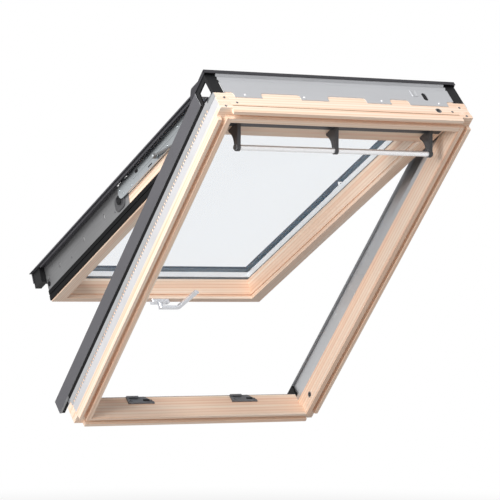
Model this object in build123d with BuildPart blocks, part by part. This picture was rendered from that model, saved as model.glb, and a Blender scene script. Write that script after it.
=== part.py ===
"""Top-hung pine roof window, shown as installed at its roof pitch with the sash part open.

Axes: +X to the right seen from the room, +Y horizontally outward, +Z up.
Origin: middle of the room face of the sill's lip.
Places on a leaf are given as u across, v up the slope and n outward.
The sash, the arms and what they carry are placed by their closed coordinates on the opened leaf.
"""
from math import atan2, cos, radians, sin
import os

from build123d import *

os.makedirs("parts", exist_ok=True)

# Overall size and pose
frame_width = 780.0
frame_height = 1178.0
pitch = 45.0
opening = 20.0
cut_overrun = 5.0
running_clearance = 0.05
seat_gap = 0.3

# Frame wood: lip, lining groove and inner ridge, then the solid member
lip_width = 10.0
groove_width = 14.0
ridge_width = 14.0
ridge_rise = 14.0
wood_depth = 58.0
edge_round = 2.0
finger_count = 5
jamb_lip_inset = 32.0
head_lip_inset = 29.0
sill_lip_inset = 27.0
head_lip_shortening = 35.0
sill_depth = 26.0
sill_ridge_top = 33.0
sill_ridge_depth = 18.5
sill_nose_top = 70.0
sill_nose_v = 14.0
head_upstand_width = 12.0
head_upstand_rise = 6.0
seam_width = 1.6
seam_depth = 1.5
seam_place = 10.0
wood_width = lip_width + groove_width + ridge_width
half_width = frame_width / 2
jamb_inner = half_width - wood_width
head_inner = frame_height - wood_width

# Sleeves in the wood for the cleaning bolt and the blind
bush_radius = 9.0
bush_bore = 6.0
bush_length = 20.0
jamb_bush_v = 85.0
jamb_bush_n = 14.0
head_bush_inset = 100.0
head_bush_u = half_width - head_bush_inset
head_bush_n = 25.0

# Fixing strip, toothed rail, gasket and cladding on each side of the frame
strip_thickness = 2.0
strip_start = 14.0
strip_bevel_start = 37.0
strip_end = 43.0
strip_bevel = 1.2
strip_end_gap = 3.0
rail_end = 67.0
rail_flange_low = 46.0
rail_web_inset = 10.0
rail_web_place = half_width - rail_web_inset
rail_web_top = 122.0
tooth_pitch = 12.0
tooth_width = 6.0
tooth_height = 8.0
gasket_depth = 7.0
gasket_inner = half_width - gasket_depth
gasket_bulge = 1.0
gasket_outer = half_width - gasket_bulge
gasket_top = 82.0
cover_thickness = 1.5
cover_top = 127.0
cover_flange_width = 17.0
cover_flange_inner = half_width - cover_flange_width
cover_foot_width = 6.5
cover_foot_inner = half_width - cover_foot_width
cover_low_end = -48.0
cover_high_inset = 66.0
cover_high_end = frame_height - cover_high_inset
cover_end_low = 2.0

# Head sheet, hood and hood ends
sheet_thickness = 1.5
sheet_start = 42.0
sheet_side_inset = 35.0
sheet_half_width = half_width - sheet_side_inset
sheet_window_rise = 19.0
sheet_window_round = 8.0
sheet_window_centre_shares = (-0.535, 0.034, 0.501)
sheet_window_widths = (118.0, 118.0, 60.0)
sheet_end_width = 25.0
sheet_slot_inset = 85.0
sheet_slot_u = sheet_half_width - sheet_slot_inset
sheet_slot_n = 78.0
sheet_slot_width = 14.0
sheet_slot_length = 30.0
ridge_fold_levels = (108.0, 112.5, 117.0, 121.0, 126.0, 131.0)
ridge_fold_depths = (0.0, 4.0, 0.0, 0.0, 4.5, -2.0)
hood_sheet = 1.5
hood_nose_reach = 8.0
hood_nose_v = frame_height + hood_nose_reach
hood_nose_low = 127.0
hood_top = 138.5
hood_lip_inset = 28.0
hood_lip_v = frame_height - hood_lip_inset
hood_lip = 134.0
horn_insets = (-4.0, 32.0, 67.0, 74.0, 88.0, 94.0)
horn_levels = (138.5, 138.0, 151.0, 150.0, 140.0, 128.0)
hood_end_width = 6.0
hood_end_inner = half_width - hood_end_width
hood_end_strip = 7.5
hood_end_top = 131.0
hood_end_bar_low = 112.0
hood_leg_reach = 33.0
hood_leg_inner = half_width - hood_leg_reach
hood_leg_width = 10.0
apron_low_v = -44.0
apron_low_n = 80.0

# Hinge line and lift arms
hinge_inset = 28.0
hinge_v = frame_height - hinge_inset
hinge_n = 100.0
hinge_pin_radius = 5.0
bracket_side_inset = 33.0
bracket_inner = half_width - bracket_side_inset
bracket_thickness = 4.0
bracket_base = 2.0
bracket_head_radius = 12.0
bracket_reach = 124.0
bracket_low_v = hinge_v - bracket_reach
bracket_toe = 15.0
bracket_high_v = hinge_v + bracket_toe
arm_side_inset = 38.0
arm_inner = half_width - arm_side_inset
arm_thickness = 4.0
arm_eye_radius = 12.0
arm_knee_reach = 50.0
arm_knee_n = 78.0
arm_knee_radius = 12.0
arm_shoulder_reach = 130.0
arm_shoulder_n = 100.0
arm_shoulder_radius = 20.0
arm_end_overlap = 26.0
arm_end_n = 104.0
arm_end_radius = 21.0
arm_lug_radius = 6.0
arm_tab_reach = 110.0
arm_tab_start = 55.0
arm_tab_width = 26.0
arm_rib_length = 300.0
arm_rib_height = 6.0
arm_rib_rise = 0.6
pin_head_radius = 9.0
pin_head_length = 2.0

# Pivot line of the sash, just under the outside of the side covers
pivot_inset = 578.0
pivot_v = frame_height - pivot_inset
pivot_n = 124.0
pivot_pin_radius = 3.5

# Support struts between frame and arms
strut_foot_reach = 110.0
strut_foot_v = hinge_v - strut_foot_reach
strut_foot_n = 75.0
strut_end_reach = 356.0
strut_end_v = hinge_v - strut_end_reach
strut_end_n = 96.0
strut_side_inset = 27.0
strut_centre = half_width - strut_side_inset
strut_tube_radius = 4.5
strut_tube_length = 150.0
strut_overlap_share = 0.75
strut_rod_radius = 3.0
strut_eye_radius = 7.0
strut_eye_width = 8.0
strut_pin_radius = 3.9
strut_bracket_inset = 19.0
strut_bracket_place = half_width - strut_bracket_inset
strut_bracket_width = 28.0
strut_bracket_top = 92.0
strut_boss_radius = 7.0
strut_boss_length = 2.5

# Sash wood
sash_side_gap = 5.3
sash_half_width = jamb_inner - sash_side_gap
sash_low = 37.0
sash_top_gap = 18.0
sash_high = hinge_v - sash_top_gap
sash_room = 20.0
sash_outer = 84.0
stile_width = 36.7
bottom_rail_width = 23.0
top_rail_width = 70.0
bead_start = 10.0
bead_width = 4.0
bead_depth = 3.0

# Glazing unit
seal_thickness = 2.0
seal_width = 22.0
seal_proud = 1.2
pane_thickness = 4.0
pane_gap = 16.0
pane_side_inset = 10.7
pane_half_width = sash_half_width - pane_side_inset
pane_low = 42.0
pane_top_inset = 54.0
pane_high = sash_high - pane_top_inset
spacer_inset = 11.0
spacer_width = 11.0

# Cladding of the sash and the arms
clad_sheet = 1.5
clad_top = 132.0
clad_side_inset = 14.0
clad_outer = half_width - clad_side_inset
clad_lip = 3.5
clad_web_inset = 7.5
clad_web = clad_outer - clad_web_inset
clad_web_low = 123.0
clad_cover_width = 24.7
clad_inner = sash_half_width - clad_cover_width
clad_inner_low = 125.0
upper_clad_start = 12.0
upper_clad_low = pivot_v + upper_clad_start
upper_clad_inset = 90.0
upper_clad_high = hinge_v - upper_clad_inset
clad_tongue_gap = 1.5
lower_clad_low = 48.3
lower_clad_inset = 52.0
lower_clad_high = pivot_v - lower_clad_inset
bottom_clad_low = -12.0
bottom_clad_skirt = 32.0
bottom_clad_gap = 0.3
top_clad_start = 37.0
top_clad_low = pane_high - top_clad_start
top_clad_drop = 8.0
top_clad_high = pane_high + top_clad_drop
top_clad_inset = 2.0
top_clad_end = sash_high - top_clad_inset
top_clad_gap = 2.0

# Sash side plates, gaskets and end caps
side_plate_thickness = 2.2
side_plate_low = 36.0
side_plate_start = 55.0
side_plate_neck_inset = 10.0
side_plate_neck_v = pivot_v - side_plate_neck_inset
side_plate_neck_n = 108.0
side_plate_eye_radius = 9.0
side_plate_boss_inset = 55.0
side_plate_boss_v = pivot_v - side_plate_boss_inset
side_plate_boss_n = 90.0
side_plate_boss_radius = 14.0
side_plate_boss_rise = 3.0
side_plate_slot_shares = (0.217, 0.5, 0.733)
side_plate_slot_n = 92.0
side_plate_slot_length = 16.0
side_plate_slot_width = 5.0
sash_gasket_thickness = 3.8
sash_gasket_start = 24.0
sash_gasket_groove = 39.0
sash_gasket_groove_width = 3.0
sash_gasket_groove_depth = 2.4
end_cap_inset = 2.5
end_cap_outer = clad_web - end_cap_inset
end_cap_start = 84.0

# Handle
handle_v = 48.0
handle_base_length = 62.0
handle_base_width = 21.0
handle_base_thickness = 10.0
handle_base_round = 6.0
handle_spindle_radius = 8.0
handle_spindle_depth = 7.0
handle_neck_length = 17.0
handle_strap_width = 15.0
handle_strap_thickness = 7.0
handle_grip_width = 17.0
handle_grip_thickness = 9.0
handle_grip_round = 3.0
handle_reach = 57.0
handle_grip_length = 86.0
handle_grip_lean = 18.0
handle_grip_rise = 14.0

# Lock rod in the bottom rail and strikers on the sill
lock_rod_inset = 0.5
lock_rod_end = 26.0
lock_rod_width = 8.0
lock_rod_thickness = 3.0
lock_slot_clearance = 1.0
lock_slot_reach = 32.0
lock_rod_n = 56.0
lock_cam_radius = 4.0
lock_cam_length = 8.0
lock_cam_offset = 10.0
striker_side_inset = 220.0
striker_u = half_width - striker_side_inset
lock_rod_half_length = striker_u + lock_rod_end
striker_half_length = 42.0
striker_low_n = 44.0
striker_high_n = 70.0
striker_plate = 2.5
striker_lip_height = 4.0
striker_lip_width = 6.5
striker_gap_half = 17.0
striker_screw_radius = 2.6
striker_screw_inset = 9.0

# Control bar, its brackets and the ventilation flap
bar_drop = 30.0
bar_v = sash_high - bar_drop
bar_n = -39.0
bar_radius = 7.5
bar_side_inset = 42.7
bar_half_length = sash_half_width - bar_side_inset
bar_bracket_inset = 6.0
bar_bracket_reach = bar_half_length - bar_bracket_inset
bar_bracket_places = (-bar_bracket_reach, 0.0, bar_bracket_reach)
bar_bracket_thickness = 10.0
bar_socket_radius = 10.0
bar_ear_drop = 46.0
bar_ear_v = sash_high - bar_ear_drop
bar_ear_depth = 6.0
flap_drop = 13.0
flap_low = sash_high - flap_drop
flap_rise = 5.0
flap_high = sash_high + flap_rise
flap_room = 14.0
flap_outer = 19.5
flap_side_inset = 12.7
flap_half_length = sash_half_width - flap_side_inset

# Cleaning bolt in the top rail
bolt_drop = 28.5
bolt_v = sash_high - bolt_drop
bolt_n = 46.0
bolt_radius = 5.0
bolt_length = 30.0


class Leaf:
    """Directions of a leaf that lies at a slope: across, up the slope and outward."""

    def __init__(self, slope, swing_v=0.0, swing_n=0.0, swing_point=Vector(0, 0, 0)):
        turn = radians(slope)
        self.up = Vector(0, -cos(turn), sin(turn))
        self.out = Vector(0, sin(turn), cos(turn))
        self.origin = swing_point - self.up * swing_v - self.out * swing_n

    def point(self, u, v, n):
        return self.origin + Vector(u, 0, 0) + self.up * v + self.out * n

    def across(self, v):
        """Section across the slope at v: x across, y outward, extruded up the slope."""
        return Plane(self.point(0, v, 0), x_dir=(1, 0, 0), z_dir=self.up)

    def along(self, u):
        """Section along the slope at u: x up the slope, y outward, extruded towards -X."""
        return Plane(self.point(u, 0, 0), x_dir=self.up, z_dir=(-1, 0, 0))

    def flat(self, n):
        """Section parallel to the leaf at n: x across, y up the slope, extruded into the room."""
        return Plane(self.point(0, 0, n), x_dir=(1, 0, 0), z_dir=-self.out)


frame = Leaf(pitch, lip_width / 2, -ridge_rise)
sash = Leaf(pitch - opening, hinge_v, hinge_n, frame.point(0, hinge_v, hinge_n))
sides = (("left", -1), ("right", 1))


def save(builder, name):
    """Label a finished piece and write its file."""
    builder.part.label = name
    export_step(builder.part, f"parts/{name}.step")


def block(x_low, x_high, y_low, y_high, mode=Mode.ADD):
    """Rectangle between two corners of the current sketch."""
    with Locations(((x_low + x_high) / 2, (y_low + y_high) / 2)):
        Rectangle(abs(x_high - x_low), abs(y_high - y_low), mode=mode)


def outline(points):
    """Closed polygon in the current sketch."""
    with BuildLine() as edge:
        Polyline(*points, close=True)
    make_face(edge.edges())


def folded(points, thickness, side):
    """Bent sheet section: an open line of points thickened towards one side."""
    with BuildLine() as edge:
        bend = Polyline(*points)
        offset(bend, amount=thickness, side=side)
    make_face(edge.edges())


def across_block(leaf, u_low, u_high, n_low, n_high, v_low, v_high, mode=Mode.ADD):
    """Straight bar of rectangular section running up the slope."""
    with BuildSketch(leaf.across(v_low)) as section:
        block(u_low, u_high, n_low, n_high)
    extrude(section.sketch, amount=v_high - v_low, mode=mode)


def outer_side(side, u_high, u_low):
    """Plane offset that makes an extrusion run from the higher to the lower u of one side."""
    return u_high if side > 0 else -u_low


def side_plate(leaf, side, u_low, u_high, points, mode=Mode.ADD):
    """Plate of one side, cut to a polygon in the section along the slope."""
    with BuildSketch(leaf.along(outer_side(side, u_high, u_low))) as section:
        outline(points)
    extrude(section.sketch, amount=u_high - u_low, mode=mode)


def side_disc(leaf, side, u_low, u_high, v, n, radius, mode=Mode.ADD):
    """Round boss or bore of one side, with its axis across the slope."""
    with BuildSketch(leaf.along(outer_side(side, u_high, u_low))) as section:
        with Locations((v, n)):
            Circle(radius)
    extrude(section.sketch, amount=u_high - u_low, mode=mode)


def side_link(leaf, side, u_low, u_high, start, end, mode=Mode.ADD):
    """Flat link of one side between two round ends, each given as v, n and radius."""
    with BuildSketch(leaf.along(outer_side(side, u_high, u_low))) as section:
        for v, n, radius in (start, end):
            with Locations((v, n)):
                Circle(radius)
        make_hull()
    extrude(section.sketch, amount=u_high - u_low, mode=mode)


# Frame wood
finger_depth = wood_depth / finger_count
member_fingers = range(0, finger_count, 2)
jamb_fingers = range(1, finger_count, 2)
lip_inner = half_width - lip_width
groove_inner = lip_inner - groove_width
flange_outer = jamb_inner + strip_thickness

for name, side in sides:
    with BuildPart() as jamb:
        across_block(frame, side * jamb_inner, side * half_width, 0, wood_depth, sill_depth, head_inner)
        for layer in jamb_fingers:
            n_low = layer * finger_depth
            n_high = n_low + finger_depth
            across_block(frame, side * jamb_inner, side * half_width, n_low, n_high, 0, sill_depth)
            across_block(frame, side * jamb_inner, side * half_width, n_low, n_high, head_inner, frame_height)
        lip_high = frame_height - head_lip_inset
        across_block(frame, side * lip_inner, side * half_width, -ridge_rise, 0, jamb_lip_inset, lip_high)
        ridge_low = lip_width + groove_width
        across_block(frame, side * jamb_inner, side * groove_inner, -ridge_rise, 0,
                     ridge_low, frame_height - ridge_low)
        across_block(frame, side * (half_width - strip_thickness), side * (half_width + cut_overrun),
                     strip_start, wood_depth + cut_overrun, sill_depth, frame_height + cut_overrun,
                     mode=Mode.SUBTRACT)
        across_block(frame, side * (jamb_inner - cut_overrun), side * flange_outer, rail_flange_low,
                     wood_depth + cut_overrun, sill_depth, head_inner, mode=Mode.SUBTRACT)
        side_disc(frame, side, jamb_inner - cut_overrun, jamb_inner + bush_length,
                  jamb_bush_v, jamb_bush_n, bush_radius, mode=Mode.SUBTRACT)
    save(jamb, f"{name}_jamb")

with BuildPart() as head:
    head_bar = [
        (head_inner, -ridge_rise),
        (head_inner + ridge_width, -ridge_rise),
        (head_inner + ridge_width, 0),
        (frame_height, 0),
        (frame_height, seam_place),
        (frame_height - seam_depth, seam_place + seam_width / 2),
        (frame_height, seam_place + seam_width),
        (frame_height, wood_depth + head_upstand_rise),
        (frame_height - head_upstand_width, wood_depth + head_upstand_rise),
        (frame_height - head_upstand_width, wood_depth),
        (head_inner, wood_depth),
    ]
    with BuildSketch(frame.along(jamb_inner)):
        outline(head_bar)
    extrude(amount=2 * jamb_inner)
    head_lip_half = half_width - head_lip_shortening
    across_block(frame, -head_lip_half, head_lip_half, -ridge_rise, 0, frame_height - lip_width, frame_height)
    for name, side in sides:
        for layer in member_fingers:
            n_low = layer * finger_depth
            across_block(frame, side * jamb_inner, side * half_width, n_low, n_low + finger_depth,
                         head_inner, frame_height)
        across_block(frame, side * (half_width - strip_thickness), side * (half_width + cut_overrun),
                     strip_start, wood_depth + cut_overrun, head_inner, frame_height + cut_overrun,
                     mode=Mode.SUBTRACT)
    with BuildSketch(frame.across(frame_height - bush_length)):
        with Locations((head_bush_u, head_bush_n)):
            Circle(bush_radius)
    extrude(amount=bush_length + cut_overrun, mode=Mode.SUBTRACT)
save(head, "head")

with BuildPart() as sill:
    ridge_low = lip_width + groove_width
    sill_bar = [
        (0, 0),
        (ridge_low, 0),
        (ridge_low, -ridge_rise),
        (sill_ridge_top - edge_round, -ridge_rise),
        (sill_ridge_top, -ridge_rise + edge_round),
        (sill_ridge_top, sill_ridge_depth),
        (sill_depth, sill_ridge_depth),
        (sill_depth, sill_nose_top),
        (sill_nose_v, sill_nose_top),
        (0, wood_depth),
    ]
    with BuildSketch(frame.along(jamb_inner)):
        outline(sill_bar)
    extrude(amount=2 * jamb_inner)
    sill_lip_half = half_width - sill_lip_inset
    across_block(frame, -sill_lip_half, sill_lip_half, -ridge_rise, 0, 0, lip_width)
    for name, side in sides:
        for layer in member_fingers:
            n_low = layer * finger_depth
            across_block(frame, side * jamb_inner, side * half_width, n_low, n_low + finger_depth,
                         0, sill_depth)
save(sill, "sill")

with BuildPart() as bushes:
    for name, side in sides:
        side_disc(frame, side, jamb_inner, jamb_inner + bush_length, jamb_bush_v, jamb_bush_n, bush_radius)
        side_disc(frame, side, jamb_inner, jamb_inner + bush_length, jamb_bush_v, jamb_bush_n, bush_bore,
                  mode=Mode.SUBTRACT)
    with BuildSketch(frame.across(frame_height - bush_length)):
        with Locations((head_bush_u, head_bush_n)):
            Circle(bush_radius)
            Circle(bush_bore, mode=Mode.SUBTRACT)
    extrude(amount=bush_length)
save(bushes, "bolt_bushes")

# Strips, rails, gaskets and cladding on the frame's sides
strip_face = half_width - strip_thickness
rail_length = head_inner - sill_depth
tooth_count = int(rail_length / tooth_pitch) - 1

for name, side in sides:
    with BuildPart() as strip:
        with BuildSketch(frame.across(sill_depth + strip_end_gap)):
            outline([
                (side * strip_face, strip_start),
                (side * half_width, strip_start),
                (side * half_width, strip_bevel_start),
                (side * (half_width - strip_bevel), strip_end),
                (side * strip_face, strip_end),
            ])
        extrude(amount=frame_height - sill_depth - 2 * strip_end_gap)
    save(strip, f"{name}_side_strip")

    with BuildPart() as rail:
        across_block(frame, side * strip_face, side * half_width, strip_end, rail_end, sill_depth, head_inner)
        foot_top = wood_depth + strip_thickness
        across_block(frame, side * strip_face, side * half_width, strip_end, wood_depth,
                     head_inner, frame_height)
        across_block(frame, side * jamb_inner, side * strip_face, wood_depth, foot_top,
                     cover_end_low, head_inner)
        across_block(frame, side * jamb_inner, side * flange_outer, rail_flange_low, foot_top,
                     sill_depth, head_inner)
        web_outer = rail_web_place + strip_thickness
        across_block(frame, side * rail_web_place, side * web_outer, foot_top, rail_web_top,
                     cover_end_low, cover_high_end)
        with BuildSketch(frame.along(outer_side(side, half_width, strip_face))):
            with Locations(((sill_depth + head_inner) / 2, strip_end + tooth_height / 2)):
                with GridLocations(tooth_pitch, tooth_pitch, tooth_count, 1):
                    Rectangle(tooth_width, tooth_height)
        extrude(amount=strip_thickness, mode=Mode.SUBTRACT)
    save(rail, f"{name}_toothed_rail")

    with BuildPart() as gasket:
        middle = (rail_end + gasket_top) / 2
        with BuildSketch(frame.across(sill_depth)):
            with BuildLine():
                Polyline(
                    (side * gasket_outer, rail_end),
                    (side * gasket_inner, rail_end),
                    (side * gasket_inner, gasket_top),
                    (side * gasket_outer, gasket_top),
                )
                ThreePointArc(
                    (side * gasket_outer, gasket_top),
                    (side * (half_width - running_clearance), middle),
                    (side * gasket_outer, rail_end),
                )
            make_face()
        extrude(amount=cover_high_end - sill_depth)
    save(gasket, f"{name}_side_gasket")

    with BuildPart() as cover:
        with BuildSketch(frame.across(cover_low_end)):
            folded(
                [
                    (side * cover_foot_inner, gasket_top),
                    (side * half_width, gasket_top),
                    (side * half_width, cover_top),
                    (side * cover_flange_inner, cover_top),
                ],
                cover_thickness,
                Side.LEFT if side > 0 else Side.RIGHT,
            )
        extrude(amount=cover_high_end - cover_low_end)
    save(cover, f"{name}_side_cover")

    with BuildPart() as cover_end:
        plug_face = half_width - cover_thickness
        across_block(frame, side * cover_flange_inner, side * plug_face, gasket_top + cover_thickness,
                     cover_top - cover_thickness, cover_low_end, cover_end_low)
    save(cover_end, f"{name}_cover_end")

# Head sheet, hood and hood ends
with BuildPart() as head_sheet:
    fold_points = [(frame_height + sheet_thickness, sheet_start)]
    for level, depth in zip(ridge_fold_levels, ridge_fold_depths):
        fold_points.append((frame_height + sheet_thickness - depth, level))
    with BuildSketch(frame.along(sheet_half_width)):
        folded(fold_points, sheet_thickness, Side.LEFT)
    extrude(amount=2 * sheet_half_width)
    with BuildSketch(frame.across(frame_height - cut_overrun)):
        for share, width in zip(sheet_window_centre_shares, sheet_window_widths):
            with Locations((share * sheet_half_width, sheet_start)):
                RectangleRounded(width, 2 * sheet_window_rise, sheet_window_round)
        for name, side in sides:
            with Locations((side * sheet_half_width, sheet_start)):
                RectangleRounded(2 * sheet_end_width, 2 * sheet_window_rise, sheet_window_round)
        with Locations((sheet_slot_u, sheet_slot_n)):
            SlotOverall(sheet_slot_length, sheet_slot_width, rotation=90)
    extrude(amount=2 * cut_overrun, mode=Mode.SUBTRACT)
save(head_sheet, "head_sheet")

with BuildPart() as hood:
    with BuildSketch(frame.along(half_width)):
        folded(
            [
                (hood_nose_v, hood_nose_low),
                (hood_nose_v, hood_top),
                (hood_lip_v, hood_top),
                (hood_lip_v, hood_lip),
            ],
            hood_sheet,
            Side.LEFT,
        )
    extrude(amount=frame_width)
    horn_places = [frame_height - inset for inset in horn_insets]
    horn_outline = [(horn_places[0], cover_top + seat_gap), *zip(horn_places, horn_levels)]
    for name, side in sides:
        side_plate(frame, side, half_width - hood_sheet, half_width, horn_outline)
save(hood, "hood")

for name, side in sides:
    with BuildPart() as hood_end:
        face = half_width - hood_sheet - seat_gap
        leg_v = frame_height - hood_leg_width
        side_plate(frame, side, hood_end_inner, face, [
            (cover_high_end + seat_gap, rail_end),
            (cover_high_end + hood_end_strip, rail_end),
            (cover_high_end + 2 * hood_end_strip, hood_end_bar_low),
            (leg_v, hood_end_bar_low),
            (leg_v, wood_depth),
            (frame_height, wood_depth),
            (frame_height, hood_end_top),
            (cover_high_end + seat_gap, hood_end_top),
        ])
        across_block(frame, side * hood_leg_inner, side * face, wood_depth, hood_end_top,
                     leg_v, frame_height)
    save(hood_end, f"{name}_hood_end")

# Apron over the sill
with BuildPart() as apron:
    with BuildSketch(frame.along(jamb_inner)):
        folded(
            [(sill_depth, sill_nose_top), (sill_nose_v, sill_nose_top), (apron_low_v, apron_low_n)],
            sheet_thickness,
            Side.RIGHT,
        )
    extrude(amount=2 * jamb_inner)
save(apron, "sill_apron")

# Hinge brackets on the frame, with the struts' foot pins
foot_top = wood_depth + strip_thickness
bracket_level = foot_top + bracket_base
for name, side in sides:
    with BuildPart() as bracket:
        bracket_outer = bracket_inner + bracket_thickness
        strut_plate = strut_bracket_place + bracket_thickness
        across_block(frame, side * bracket_inner, side * strut_plate, foot_top, bracket_level,
                     bracket_low_v, head_inner)
        across_block(frame, side * bracket_inner, side * strut_plate, wood_depth, bracket_level,
                     head_inner, bracket_high_v)
        side_plate(frame, side, bracket_inner, bracket_outer, [
            (hinge_v - bracket_head_radius, bracket_level),
            (hinge_v + bracket_head_radius, bracket_level),
            (hinge_v + bracket_head_radius, hinge_n),
            (hinge_v - bracket_head_radius, hinge_n),
        ])
        side_disc(frame, side, bracket_inner, bracket_outer, hinge_v, hinge_n, bracket_head_radius)
        side_disc(frame, side, bracket_inner - cut_overrun, bracket_outer + cut_overrun, hinge_v, hinge_n,
                  hinge_pin_radius + running_clearance, mode=Mode.SUBTRACT)
        half_plate = strut_bracket_width / 2
        side_plate(frame, side, strut_bracket_place, strut_plate, [
            (strut_foot_v - half_plate, bracket_level),
            (strut_foot_v + half_plate, bracket_level),
            (strut_foot_v + strut_eye_radius, strut_bracket_top),
            (strut_foot_v - strut_eye_radius, strut_bracket_top),
        ])
        side_disc(frame, side, strut_centre - strut_eye_width / 2, strut_bracket_place,
                  strut_foot_v, strut_foot_n, strut_pin_radius)
    save(bracket, f"{name}_hinge_bracket")

# Strikers on the sill, both the same way round
for name, side in sides:
    with BuildPart() as striker:
        middle = side * striker_u
        top = sill_depth + striker_plate
        with BuildSketch(frame.across(sill_depth)):
            outline([
                (middle - striker_half_length, striker_low_n),
                (middle + striker_half_length, striker_low_n),
                (middle + striker_half_length, striker_low_n + striker_lip_width),
                (middle + striker_gap_half, striker_high_n),
                (middle - striker_half_length, striker_high_n),
            ])
            for end in (-1, 1):
                with Locations((middle + end * (striker_half_length - striker_screw_inset),
                                striker_low_n + striker_screw_inset)):
                    Circle(striker_screw_radius, mode=Mode.SUBTRACT)
        extrude(amount=striker_plate)
        lip_n = striker_high_n - striker_lip_width
        across_block(frame, middle - striker_half_length, middle - lock_cam_radius, lip_n, striker_high_n,
                     top, top + striker_lip_height)
        across_block(frame, middle - striker_half_length, middle - striker_half_length + striker_lip_width,
                     striker_low_n, striker_high_n, top, top + striker_lip_height / 2)
    save(striker, f"{name}_striker")

# Lift arms, their pins and the upper cladding that rides on them
clad_under = clad_top - clad_sheet
arm_outer = arm_inner + arm_thickness
arm_end_v = pivot_v - arm_end_overlap
for name, side in sides:
    with BuildPart() as arm:
        chain = [
            (hinge_v, hinge_n, arm_eye_radius),
            (hinge_v - arm_knee_reach, arm_knee_n, arm_knee_radius),
            (hinge_v - arm_shoulder_reach, arm_shoulder_n, arm_shoulder_radius),
            (arm_end_v, arm_end_n, arm_end_radius),
            (pivot_v, pivot_n, arm_lug_radius),
        ]
        for start, end in zip(chain, chain[1:]):
            side_link(sash, side, arm_inner, arm_outer, start, end)
        for place in (pivot_v + arm_tab_start, hinge_v - arm_tab_reach):
            across_block(sash, side * arm_inner, side * arm_outer, arm_end_n, clad_under,
                         place - arm_tab_width / 2, place + arm_tab_width / 2)
        side_disc(sash, side, arm_inner - cut_overrun, arm_outer + cut_overrun, hinge_v, hinge_n,
                  hinge_pin_radius, mode=Mode.SUBTRACT)
        with BuildSketch(sash.along(outer_side(side, arm_outer + arm_rib_rise, arm_outer))):
            with Locations(((arm_end_v + hinge_v - arm_shoulder_reach) / 2, arm_end_n)):
                SlotOverall(arm_rib_length, arm_rib_height)
        extrude(amount=arm_rib_rise)
        side_disc(sash, side, arm_outer, arm_outer + strut_boss_length, strut_end_v, strut_end_n,
                  strut_boss_radius)
        side_disc(sash, side, sash_half_width + seat_gap, arm_inner, pivot_v, pivot_n, pivot_pin_radius)
    save(arm, f"{name}_arm")

with BuildPart() as hinge_pins:
    for name, side in sides:
        side_disc(sash, side, arm_inner - pin_head_length, arm_inner, hinge_v, hinge_n, pin_head_radius)
        side_disc(sash, side, arm_inner, bracket_inner + bracket_thickness + pin_head_length,
                  hinge_v, hinge_n, hinge_pin_radius)
save(hinge_pins, "hinge_pins")


def cladding(side, v_low, v_high, inner_low):
    """Folded cover over one edge of the sash, with an inner leg, a web and an outer lip."""
    with BuildSketch(sash.across(v_low)) as section:
        outline([
            (side * clad_inner, inner_low),
            (side * (clad_inner + clad_sheet), inner_low),
            (side * (clad_inner + clad_sheet), clad_under),
            (side * (clad_web - clad_sheet), clad_under),
            (side * (clad_web - clad_sheet), clad_web_low),
            (side * clad_web, clad_web_low),
            (side * clad_web, clad_under),
            (side * (clad_outer - clad_sheet), clad_under),
            (side * (clad_outer - clad_sheet), clad_top - clad_lip),
            (side * clad_outer, clad_top - clad_lip),
            (side * clad_outer, clad_top),
            (side * clad_inner, clad_top),
        ])
    extrude(section.sketch, amount=v_high - v_low)


for name, side in sides:
    with BuildPart() as upper_cover:
        cladding(side, upper_clad_low, upper_clad_high, clad_inner_low)
        cladding(side, lower_clad_high + clad_tongue_gap, upper_clad_low, clad_inner_low)
        across_block(sash, side * (clad_inner - cut_overrun), side * (arm_inner + seat_gap),
                     clad_inner_low - cut_overrun, clad_top + cut_overrun,
                     lower_clad_high, upper_clad_low, mode=Mode.SUBTRACT)
    save(upper_cover, f"{name}_upper_cover")

    with BuildPart() as lower_cover:
        cladding(side, lower_clad_low, lower_clad_high, clad_inner_low)
    save(lower_cover, f"{name}_lower_cover")

# Sash wood
stile_inner = sash_half_width - stile_width
bead_low = sash_room + bead_start
bead_high = bead_low + bead_width
for name, side in sides:
    with BuildPart() as stile:
        with BuildSketch(sash.across(sash_low)):
            outline([
                (side * stile_inner, sash_room),
                (side * sash_half_width, sash_room),
                (side * sash_half_width, sash_outer),
                (side * stile_inner, sash_outer),
                (side * stile_inner, bead_high),
                (side * (stile_inner + bead_depth), bead_high),
                (side * (stile_inner + bead_depth), bead_low),
                (side * stile_inner, bead_low),
            ])
        extrude(amount=sash_high - sash_low)
        if side > 0:
            side_disc(sash, side, sash_half_width - bolt_length, sash_half_width + cut_overrun,
                      bolt_v, bolt_n, bolt_radius, mode=Mode.SUBTRACT)
    save(stile, f"{name}_stile")

bottom_inner = sash_low + bottom_rail_width
rod_low = sash_low + lock_rod_inset
rod_high = rod_low + lock_rod_thickness
lock_half = lock_rod_width / 2
with BuildPart() as bottom_rail:
    with BuildSketch(sash.along(stile_inner)):
        outline([
            (sash_low, sash_room),
            (bottom_inner, sash_room),
            (bottom_inner, bead_low),
            (bottom_inner - bead_depth, bead_low),
            (bottom_inner - bead_depth, bead_high),
            (bottom_inner, bead_high),
            (bottom_inner, sash_outer),
            (sash_low, sash_outer),
        ])
    extrude(amount=2 * stile_inner)
    lock_reach = lock_rod_half_length + lock_slot_reach
    across_block(sash, -lock_reach, lock_reach, lock_rod_n - lock_half - lock_slot_clearance,
                 lock_rod_n + lock_half + lock_slot_clearance, sash_low - cut_overrun,
                 rod_high + running_clearance, mode=Mode.SUBTRACT)
save(bottom_rail, "bottom_rail")

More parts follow.
